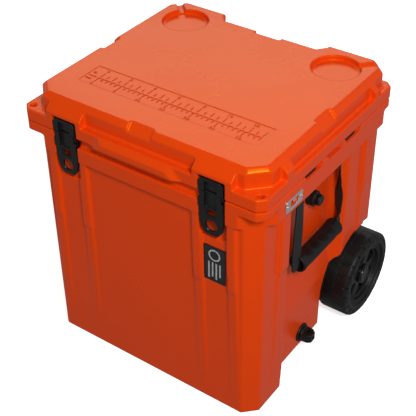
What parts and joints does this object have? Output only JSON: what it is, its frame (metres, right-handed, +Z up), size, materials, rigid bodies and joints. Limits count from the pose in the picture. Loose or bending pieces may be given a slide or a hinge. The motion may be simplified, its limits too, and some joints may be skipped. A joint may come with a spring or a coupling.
{
  "type": "wheeled cooler box",
  "caption": "Hard-sided insulated cooler on wheels: hinged lid with lever latches, webbing side handles, drain and vent, bottle opener and a pull-out tow handle.",
  "frame": {"origin": "on the floor, under the middle of the bounding box", "axes": "+X to the cooler's right as seen from the front, +Y to the back, +Z up"},
  "size_m": [0.512, 0.4732, 0.529],
  "materials": {
    "orange_shell": "satin moulded polyethylene",
    "black_plastic": "fine-grained moulded nylon",
    "tyre_rubber": "matt moulded tread",
    "steel": "plated",
    "plate_steel": "brushed stainless",
    "tube_aluminium": "black anodised",
    "foam": "rigid foam",
    "liner": "satin moulded polyethylene",
    "seal_rubber": "soft extruded seal",
    "webbing": "woven polyester webbing",
    "grip_rubber": "soft moulded grip",
    "badge_plate": "satin badge"
  },
  "bodies": {
    "cooler_body": {"body_shell": "orange_shell", "body_foam": "foam", "body_liner": "liner", "drain_fitting": "black_plastic", "vent_body": "black_plastic", "opener_plate": "plate_steel", "opener_screws": "steel", "badge": "badge_plate", "latch_keeper_left": "black_plastic", "latch_keeper_right": "black_plastic", "strap_retainers_left": "black_plastic", "strap_retainers_right": "black_plastic", "strap_ends_left": "webbing", "strap_ends_right": "webbing", "hinge_block_left": "black_plastic", "hinge_block_right": "black_plastic", "axle": "steel", "axle_washers": "steel", "tow_sleeve_left": "tube_aluminium", "tow_sleeve_right": "tube_aluminium", "tow_bracket_lower": "black_plastic", "tow_bracket_upper": "black_plastic", "tow_bracket_screws": "steel"},
    "lid": {"lid_shell": "orange_shell", "lid_foam": "foam", "lid_inner_panel": "liner", "lid_gasket": "seal_rubber", "hinge_pin_left": "steel", "hinge_pin_right": "steel", "latch_mount_left": "black_plastic", "latch_mount_right": "black_plastic", "latch_pin_left": "steel", "latch_pin_right": "steel"},
    "left_latch": {"latch_lever_left": "black_plastic"},
    "right_latch": {"latch_lever_right": "black_plastic"},
    "left_handle": {"handle_strap_left": "webbing", "handle_grip_left": "grip_rubber"},
    "right_handle": {"handle_strap_right": "webbing", "handle_grip_right": "grip_rubber"},
    "left_wheel": {"tyre_left": "tyre_rubber", "wheel_hub_left": "black_plastic", "wheel_bush_left": "black_plastic", "hub_cap_left": "black_plastic"},
    "right_wheel": {"tyre_right": "tyre_rubber", "wheel_hub_right": "black_plastic", "wheel_bush_right": "black_plastic", "hub_cap_right": "black_plastic"},
    "drain_stopper": {"drain_plug": "black_plastic"},
    "vent_cap": {"vent_knob": "black_plastic"},
    "tow_handle": {"tow_tube_left": "tube_aluminium", "tow_tube_right": "tube_aluminium", "tow_grip": "black_plastic", "button_spring": "steel"},
    "release_button": {"tow_button": "black_plastic"}
  },
  "joints": [
    {"name": "lid_hinge", "type": "hinge", "parent": "cooler_body", "child": "lid", "pos_m": [0, 0.1841, 0.5], "axis": [-1, 0, 0], "range_deg": [0, 90]},
    {"name": "left_latch_pivot", "type": "hinge", "parent": "lid", "child": "left_latch", "pos_m": [-0.1495, -0.2234, 0.466], "axis": [-1, 0, 0], "range_deg": [0, 90]},
    {"name": "right_latch_pivot", "type": "hinge", "parent": "lid", "child": "right_latch", "pos_m": [0.1495, -0.2234, 0.466], "axis": [-1, 0, 0], "range_deg": [0, 90]},
    {"name": "left_handle_swing", "type": "hinge", "parent": "cooler_body", "child": "left_handle", "pos_m": [-0.226, -0.0159, 0.414], "axis": [0, 1, 0], "range_deg": [0, 95]},
    {"name": "right_handle_swing", "type": "hinge", "parent": "cooler_body", "child": "right_handle", "pos_m": [0.226, -0.0159, 0.414], "axis": [0, -1, 0], "range_deg": [0, 95]},
    {"name": "left_wheel_spin", "type": "hinge", "parent": "cooler_body", "child": "left_wheel", "pos_m": [-0.222, 0.1491, 0.0875], "axis": [1, 0, 0], "continuous": true},
    {"name": "right_wheel_spin", "type": "hinge", "parent": "cooler_body", "child": "right_wheel", "pos_m": [0.222, 0.1491, 0.0875], "axis": [1, 0, 0], "continuous": true},
    {"name": "drain_plug_turn", "type": "hinge", "parent": "cooler_body", "child": "drain_stopper", "pos_m": [0.225, -0.0319, 0.056], "axis": [1, 0, 0], "range_deg": [0, 90]},
    {"name": "vent_cap_turn", "type": "hinge", "parent": "cooler_body", "child": "vent_cap", "pos_m": [0.22, -0.0159, 0.362], "axis": [1, 0, 0], "range_deg": [0, 180]},
    {"name": "tow_handle_slide", "type": "slide", "parent": "cooler_body", "child": "tow_handle", "axis": [0, 0, 1], "range_m": [0, 0.33]},
    {"name": "release_button_press", "type": "slide", "parent": "tow_handle", "child": "release_button", "axis": [0, 0, -1], "range_m": [0, 0.004], "stiffness_N_per_m": 400, "springref_m": -0.003, "deforming": ["button_spring"]}
  ]
}
